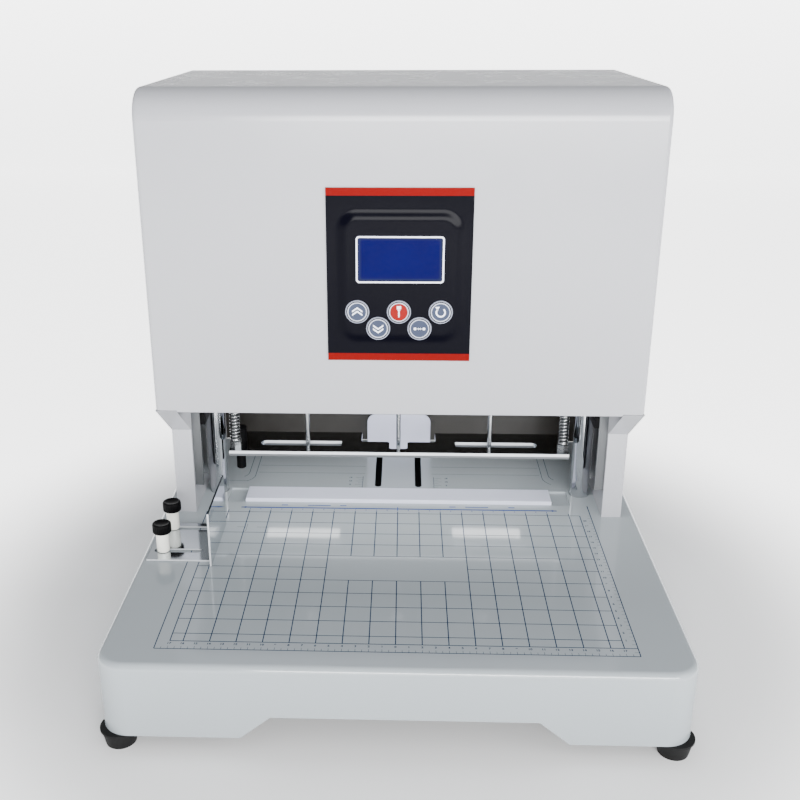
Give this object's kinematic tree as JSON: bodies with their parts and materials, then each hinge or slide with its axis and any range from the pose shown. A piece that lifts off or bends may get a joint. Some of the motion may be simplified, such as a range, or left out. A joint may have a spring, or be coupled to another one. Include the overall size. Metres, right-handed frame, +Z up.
{
  "type": "electric hole punch",
  "caption": "Desk-top electric paper punch: a printed table with side gauge and backstop, sprung presser plate, motor-lowered drills and a tall head with a control panel.",
  "frame": {"origin": "middle of the bounding box on the surface under the feet", "axes": "+X to the operator's right, +Y to the rear, +Z up"},
  "size_m": [0.447, 0.4241, 0.4645],
  "materials": {
    "white_paint": "satin powder coat",
    "zinc_steel": "zinc plated",
    "rubber": "moulded",
    "steel_screws": "bright zinc",
    "white_plate": "gloss powder coat",
    "white_nylon": "milled nylon",
    "chrome": "hard chromed and ground",
    "motor_steel": "black",
    "ground_steel": "ground",
    "bronze": "turned",
    "black_plastic": "moulded",
    "aluminium": "milled",
    "mirror_steel": "polished stainless",
    "spring_steel": "nickel plated",
    "panel_gloss": "gloss film",
    "button_cap": "domed film",
    "red_cap": "domed film",
    "lcd": "backlit display",
    "circuit_board": "solder mask",
    "supply_case": "folded perforated sheet"
  },
  "bodies": {
    "frame": {"base_housing": "white_paint", "corner_gussets": "zinc_steel", "rubber_feet": "rubber", "foot_bolts": "steel_screws", "mat_tray": "white_plate", "chassis_plate": "zinc_steel", "guide_posts": "chrome", "post_nuts": "steel_screws", "top_plate": "zinc_steel", "side_panel_left": "white_paint", "side_panel_right": "white_paint", "slide_rails": "zinc_steel", "rail_screws": "steel_screws", "head_cover": "white_paint", "rear_cover": "white_paint", "cover_screws": "steel_screws", "control_panel": "panel_gloss", "lcd_module": "lcd", "panel_board": "circuit_board", "control_board": "circuit_board", "lift_motor": "motor_steel", "power_supply": "supply_case", "power_inlet": "black_plastic"},
    "carriage": {"carriage_plate": "zinc_steel", "linear_bushes": "ground_steel", "lift_nut": "bronze", "slide_runners": "ground_steel", "runner_stops": "black_plastic", "pitch_rods": "chrome", "rod_blocks": "aluminium", "pitch_motor": "motor_steel", "presser_spring_left": "spring_steel", "presser_spring_right": "spring_steel", "drill_motor_centre": "motor_steel"},
    "lift_screw": {"lift_screw": "ground_steel"},
    "pitch_screw": {"pitch_screw": "ground_steel"},
    "drill_head_left": {"slide_block_left": "aluminium", "drill_motor_left": "motor_steel"},
    "drill_head_right": {"slide_block_right": "aluminium", "drill_motor_right": "motor_steel"},
    "spindle_left": {"spindle_left": "ground_steel"},
    "spindle_centre": {"spindle_centre": "ground_steel"},
    "spindle_right": {"spindle_right": "ground_steel"},
    "presser": {"presser_plate": "mirror_steel", "presser_studs": "steel_screws", "stud_nuts": "steel_screws", "feeler_sleeve": "chrome"},
    "feeler": {"feeler": "black_plastic"},
    "cutting_mat": {"cutting_mat": "white_nylon"},
    "backstop": {"backstop": "white_plate", "backstop_clamp": "steel_screws"},
    "side_gauge": {"side_gauge": "mirror_steel"},
    "thumb_screw_front": {"thumb_screw_front": "black_plastic"},
    "thumb_screw_rear": {"thumb_screw_rear": "black_plastic"},
    "button_up": {"button_up": "button_cap"},
    "button_down": {"button_down": "button_cap"},
    "button_punch": {"button_punch": "red_cap"},
    "button_reset": {"button_reset": "button_cap"},
    "button_select": {"button_select": "button_cap"},
    "rocker": {"rocker": "black_plastic"}
  },
  "joints": [
    {"name": "carriage_slide", "type": "slide", "parent": "frame", "child": "carriage", "axis": [0, 0, 1], "range_m": [-0.0477, 0]},
    {"name": "lift_screw_turn", "type": "hinge", "parent": "frame", "child": "lift_screw", "pos_m": [0, 0.134, 0.36], "axis": [0, 0, 1], "range_deg": [0, 860]},
    {"name": "presser_slide", "type": "slide", "parent": "carriage", "child": "presser", "axis": [0, 0, 1], "range_m": [0, 0.0477], "stiffness_N_per_m": 300, "springref_m": -0.05, "deforming": ["presser_spring_left", "presser_spring_right"]},
    {"name": "feeler_slide", "type": "slide", "parent": "presser", "child": "feeler", "axis": [0, 0, 1], "range_m": [0, 0.0229]},
    {"name": "pitch_right", "type": "slide", "parent": "carriage", "child": "drill_head_right", "axis": [1, 0, 0], "range_m": [-0.021, 0.022]},
    {"name": "pitch_left", "type": "slide", "parent": "carriage", "child": "drill_head_left", "axis": [1, 0, 0], "range_m": [-0.022, 0.021]},
    {"name": "pitch_screw_turn", "type": "hinge", "parent": "carriage", "child": "pitch_screw", "pos_m": [0, 0.112, 0.274], "axis": [1, 0, 0], "range_deg": [-380, 400]},
    {"name": "spindle_left_turn", "type": "hinge", "parent": "drill_head_left", "child": "spindle_left", "pos_m": [-0.086, 0.066, 0.25], "axis": [0, 0, 1], "continuous": true},
    {"name": "spindle_centre_turn", "type": "hinge", "parent": "carriage", "child": "spindle_centre", "pos_m": [0, 0.066, 0.25], "axis": [0, 0, 1], "continuous": true},
    {"name": "spindle_right_turn", "type": "hinge", "parent": "drill_head_right", "child": "spindle_right", "pos_m": [0.086, 0.066, 0.25], "axis": [0, 0, 1], "continuous": true},
    {"name": "mat_slide", "type": "slide", "parent": "frame", "child": "cutting_mat", "axis": [1, 0, 0], "range_m": [-0.014, 0.014]},
    {"name": "backstop_slide", "type": "slide", "parent": "frame", "child": "backstop", "axis": [0, 1, 0], "range_m": [-0.0875, 0.012]},
    {"name": "side_gauge_slide", "type": "slide", "parent": "frame", "child": "side_gauge", "axis": [1, 0, 0], "range_m": [-0.031, 0.005]},
    {"name": "thumb_screw_front_turn", "type": "hinge", "parent": "frame", "child": "thumb_screw_front", "pos_m": [-0.204, -0.046, 0.09], "axis": [0, 0, 1], "range_deg": [0, 270]},
    {"name": "thumb_screw_rear_turn", "type": "hinge", "parent": "frame", "child": "thumb_screw_rear", "pos_m": [-0.204, -0.005, 0.09], "axis": [0, 0, 1], "range_deg": [0, 270]},
    {"name": "button_up_press", "type": "slide", "parent": "frame", "child": "button_up", "axis": [0, 1, 0], "range_m": [0, 0.0005], "stiffness_N_per_m": 600, "springref_m": -0.0005},
    {"name": "button_down_press", "type": "slide", "parent": "frame", "child": "button_down", "axis": [0, 1, 0], "range_m": [0, 0.0005], "stiffness_N_per_m": 600, "springref_m": -0.0005},
    {"name": "button_punch_press", "type": "slide", "parent": "frame", "child": "button_punch", "axis": [0, 1, 0], "range_m": [0, 0.0005], "stiffness_N_per_m": 600, "springref_m": -0.0005},
    {"name": "button_reset_press", "type": "slide", "parent": "frame", "child": "button_reset", "axis": [0, 1, 0], "range_m": [0, 0.0005], "stiffness_N_per_m": 600, "springref_m": -0.0005},
    {"name": "button_select_press", "type": "slide", "parent": "frame", "child": "button_select", "axis": [0, 1, 0], "range_m": [0, 0.0005], "stiffness_N_per_m": 600, "springref_m": -0.0005},
    {"name": "rocker_tilt", "type": "hinge", "parent": "frame", "child": "rocker", "pos_m": [0.158, 0.2036, 0.042], "axis": [1, 0, 0], "range_deg": [-16, 0]}
  ],
  "couplings": [
    {"joint": "lift_screw_turn", "follows": "carriage_slide", "rad_per_m": -314.16},
    {"joint": "feeler_slide", "follows": "carriage_slide", "ratio": -0.48},
    {"joint": "pitch_left", "follows": "pitch_right", "ratio": -1},
    {"joint": "pitch_screw_turn", "follows": "pitch_right", "rad_per_m": 314.16}
  ]
}
